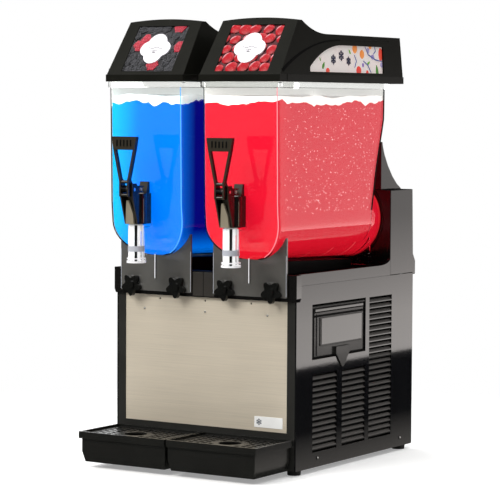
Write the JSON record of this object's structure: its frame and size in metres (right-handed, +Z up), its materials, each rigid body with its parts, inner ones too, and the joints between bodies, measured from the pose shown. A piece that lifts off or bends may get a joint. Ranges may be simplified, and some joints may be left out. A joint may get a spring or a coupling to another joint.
{
  "type": "slush machine",
  "caption": "Counter-top frozen drink machine with two clear bowls, augers, pull taps, lit sloping lids, drip trays and a louvred cabinet.",
  "frame": {"origin": "on the floor plane under the feet, below the middle of the machine's bounding box", "axes": "+Z up, +X to the machine's right seen from the front, front (taps and trays) faces -Y"},
  "size_m": [0.4, 0.574, 0.825],
  "materials": {
    "painted_steel": "satin",
    "rubber": "matte",
    "cabinet_black": "gloss",
    "brushed_stainless": "brushed",
    "galvanised_steel": "satin",
    "deck_black": "gloss",
    "compressor_enamel": "gloss",
    "aluminium_fins": "satin",
    "fan_black": "satin",
    "fan_aluminium": "satin",
    "motor_grey": "satin",
    "polished_stainless": "polished",
    "food_white_plastic": "satin",
    "clear_polycarbonate": "clear",
    "silicone": "matte",
    "smoked_plastic": "gloss",
    "knob_black": "gloss",
    "tap_black": "gloss",
    "spring_steel": "polished",
    "lid_black": "semi-gloss",
    "display_left": "backlit print",
    "display_right": "backlit print",
    "side_graphic": "backlit print",
    "lamp_white": "clear",
    "tray_black": "gloss",
    "grille_grey": "satin",
    "flap_grey": "satin",
    "panel_grey": "satin",
    "switch_green": "gloss",
    "switch_black": "gloss",
    "inlet_black": "matte"
  },
  "bodies": {
    "cabinet": {"base_pan": "painted_steel", "rubber_feet": "rubber", "side_panel_left": "cabinet_black", "side_panel_right": "cabinet_black", "front_frame": "cabinet_black", "front_panel": "brushed_stainless", "rear_panel": "galvanised_steel", "deck": "deck_black", "tower_cover": "deck_black", "rear_brace": "deck_black", "compressor": "compressor_enamel", "condenser": "aluminium_fins", "fan_frame": "fan_black", "gear_motor_left": "motor_grey", "gear_motor_right": "motor_grey", "evaporator_left": "polished_stainless", "evaporator_right": "polished_stainless", "bowl_left": "clear_polycarbonate", "bowl_right": "clear_polycarbonate", "bowl_gaskets": "silicone", "clamp_plate_left": "smoked_plastic", "clamp_plate_right": "smoked_plastic", "tap_body_left": "tap_black", "tap_body_right": "tap_black", "tap_nozzle_left": "clear_polycarbonate", "tap_nozzle_right": "clear_polycarbonate", "tap_spring_left": "spring_steel", "tap_spring_right": "spring_steel", "tap_pins": "spring_steel", "control_panel": "panel_grey", "power_inlet": "inlet_black"},
    "lid_left": {"lid_left": "lid_black", "front_display_left": "display_left", "side_display_left": "side_graphic", "lid_lamp_left": "lamp_white"},
    "tap_handle_left": {"tap_handle_left": "tap_black"},
    "tap_piston_left": {"tap_piston_left": "food_white_plastic"},
    "auger_left": {"auger_left": "food_white_plastic", "auger_shaft_left": "polished_stainless"},
    "drip_tray_left": {"drip_tray_left": "tray_black"},
    "drip_grille_left": {"drip_grille_left": "grille_grey"},
    "mode_switch_left": {"mode_switch_left": "switch_black"},
    "lid_right": {"lid_right": "lid_black", "front_display_right": "display_right", "side_display_right": "side_graphic", "lid_lamp_right": "lamp_white"},
    "tap_handle_right": {"tap_handle_right": "tap_black"},
    "tap_piston_right": {"tap_piston_right": "food_white_plastic"},
    "auger_right": {"auger_right": "food_white_plastic", "auger_shaft_right": "polished_stainless"},
    "drip_tray_right": {"drip_tray_right": "tray_black"},
    "drip_grille_right": {"drip_grille_right": "grille_grey"},
    "mode_switch_right": {"mode_switch_right": "switch_black"},
    "fan": {"fan_blade": "fan_aluminium"},
    "control_flap": {"control_flap": "flap_grey"},
    "power_switch": {"power_switch": "switch_green"},
    "clamp_knob_1": {"clamp_knob_1": "knob_black"},
    "clamp_knob_2": {"clamp_knob_2": "knob_black"},
    "clamp_knob_3": {"clamp_knob_3": "knob_black"},
    "clamp_knob_4": {"clamp_knob_4": "knob_black"}
  },
  "joints": [
    {"name": "lid_left_lift", "type": "slide", "parent": "cabinet", "child": "lid_left", "axis": [0, 0, 1], "range_m": [0, 0.09]},
    {"name": "tap_left_pull", "type": "hinge", "parent": "cabinet", "child": "tap_handle_left", "pos_m": [-0.103, -0.257, 0.513], "axis": [1, 0, 0], "range_deg": [0, 36], "stiffness_Nm_per_rad": 0.8, "springref_deg": -8.59},
    {"name": "tap_left_valve", "type": "slide", "parent": "cabinet", "child": "tap_piston_left", "axis": [0, 0, 1], "range_m": [0, 0.0182], "deforming": ["tap_spring_left"]},
    {"name": "auger_left_spin", "type": "hinge", "parent": "cabinet", "child": "auger_left", "pos_m": [-0.103, -0.059, 0.453], "axis": [0, 1, 0], "continuous": true},
    {"name": "tray_left_slide", "type": "slide", "parent": "cabinet", "child": "drip_tray_left", "axis": [0, -1, 0], "range_m": [0, 0.14]},
    {"name": "grille_left_lift", "type": "slide", "parent": "drip_tray_left", "child": "drip_grille_left", "axis": [0, 0, 1], "range_m": [0, 0.04]},
    {"name": "mode_switch_left_rock", "type": "hinge", "parent": "cabinet", "child": "mode_switch_left", "pos_m": [0.179, -0.002, 0.253], "axis": [0, 1, 0], "range_deg": [-7, 7]},
    {"name": "lid_right_lift", "type": "slide", "parent": "cabinet", "child": "lid_right", "axis": [0, 0, 1], "range_m": [0, 0.09]},
    {"name": "tap_right_pull", "type": "hinge", "parent": "cabinet", "child": "tap_handle_right", "pos_m": [0.103, -0.257, 0.513], "axis": [1, 0, 0], "range_deg": [0, 36], "stiffness_Nm_per_rad": 0.8, "springref_deg": -8.59},
    {"name": "tap_right_valve", "type": "slide", "parent": "cabinet", "child": "tap_piston_right", "axis": [0, 0, 1], "range_m": [0, 0.0182], "deforming": ["tap_spring_right"]},
    {"name": "auger_right_spin", "type": "hinge", "parent": "cabinet", "child": "auger_right", "pos_m": [0.103, -0.059, 0.453], "axis": [0, 1, 0], "continuous": true},
    {"name": "tray_right_slide", "type": "slide", "parent": "cabinet", "child": "drip_tray_right", "axis": [0, -1, 0], "range_m": [0, 0.14]},
    {"name": "grille_right_lift", "type": "slide", "parent": "drip_tray_right", "child": "drip_grille_right", "axis": [0, 0, 1], "range_m": [0, 0.04]},
    {"name": "mode_switch_right_rock", "type": "hinge", "parent": "cabinet", "child": "mode_switch_right", "pos_m": [0.179, 0.04, 0.253], "axis": [0, 1, 0], "range_deg": [-7, 7]},
    {"name": "power_switch_rock", "type": "hinge", "parent": "cabinet", "child": "power_switch", "pos_m": [0.179, -0.044, 0.253], "axis": [0, 1, 0], "range_deg": [-7, 7]},
    {"name": "fan_spin", "type": "hinge", "parent": "cabinet", "child": "fan", "pos_m": [0.08, 0.002, 0.105], "axis": [1, 0, 0], "continuous": true},
    {"name": "flap_open", "type": "hinge", "parent": "cabinet", "child": "control_flap", "pos_m": [0.193, -0.006, 0.301], "axis": [0, -1, 0], "range_deg": [0, 100]},
    {"name": "clamp_knob_1_turn", "type": "hinge", "parent": "cabinet", "child": "clamp_knob_1", "pos_m": [-0.153, -0.174, 0.332], "axis": [0, 1, 0], "continuous": true},
    {"name": "clamp_knob_2_turn", "type": "hinge", "parent": "cabinet", "child": "clamp_knob_2", "pos_m": [-0.053, -0.174, 0.332], "axis": [0, 1, 0], "continuous": true},
    {"name": "clamp_knob_3_turn", "type": "hinge", "parent": "cabinet", "child": "clamp_knob_3", "pos_m": [0.053, -0.174, 0.332], "axis": [0, 1, 0], "continuous": true},
    {"name": "clamp_knob_4_turn", "type": "hinge", "parent": "cabinet", "child": "clamp_knob_4", "pos_m": [0.153, -0.174, 0.332], "axis": [0, 1, 0], "continuous": true}
  ],
  "couplings": [
    {"joint": "tap_left_valve", "follows": "tap_left_pull", "m_per_rad": 0.0285},
    {"joint": "tap_right_valve", "follows": "tap_right_pull", "m_per_rad": 0.0285}
  ]
}
